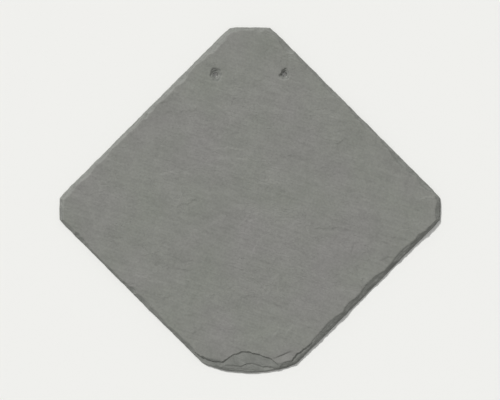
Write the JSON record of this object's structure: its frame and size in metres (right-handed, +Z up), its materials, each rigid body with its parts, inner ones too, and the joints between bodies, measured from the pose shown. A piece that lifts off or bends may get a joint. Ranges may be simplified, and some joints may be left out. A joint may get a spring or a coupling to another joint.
{
  "type": "slate roof tile",
  "caption": "Flat split-slate roof tile: a square stood on its corner, with an arched foot, clipped corners, hewn bevelled edges and nail holes near the head, laid lapped like scales.",
  "frame": {"origin": "on the bed, the face that the tile lies on, in the middle of the tile's length and width", "axes": "+X across the tile, +Y from the arched foot to the head, +Z up out of the weather face"},
  "size_m": [0.3336, 0.3022, 0.005],
  "materials": {
    "slate": "matte"
  },
  "bodies": {
    "root": {"slate_tile": "slate"}
  },
  "joints": []
}
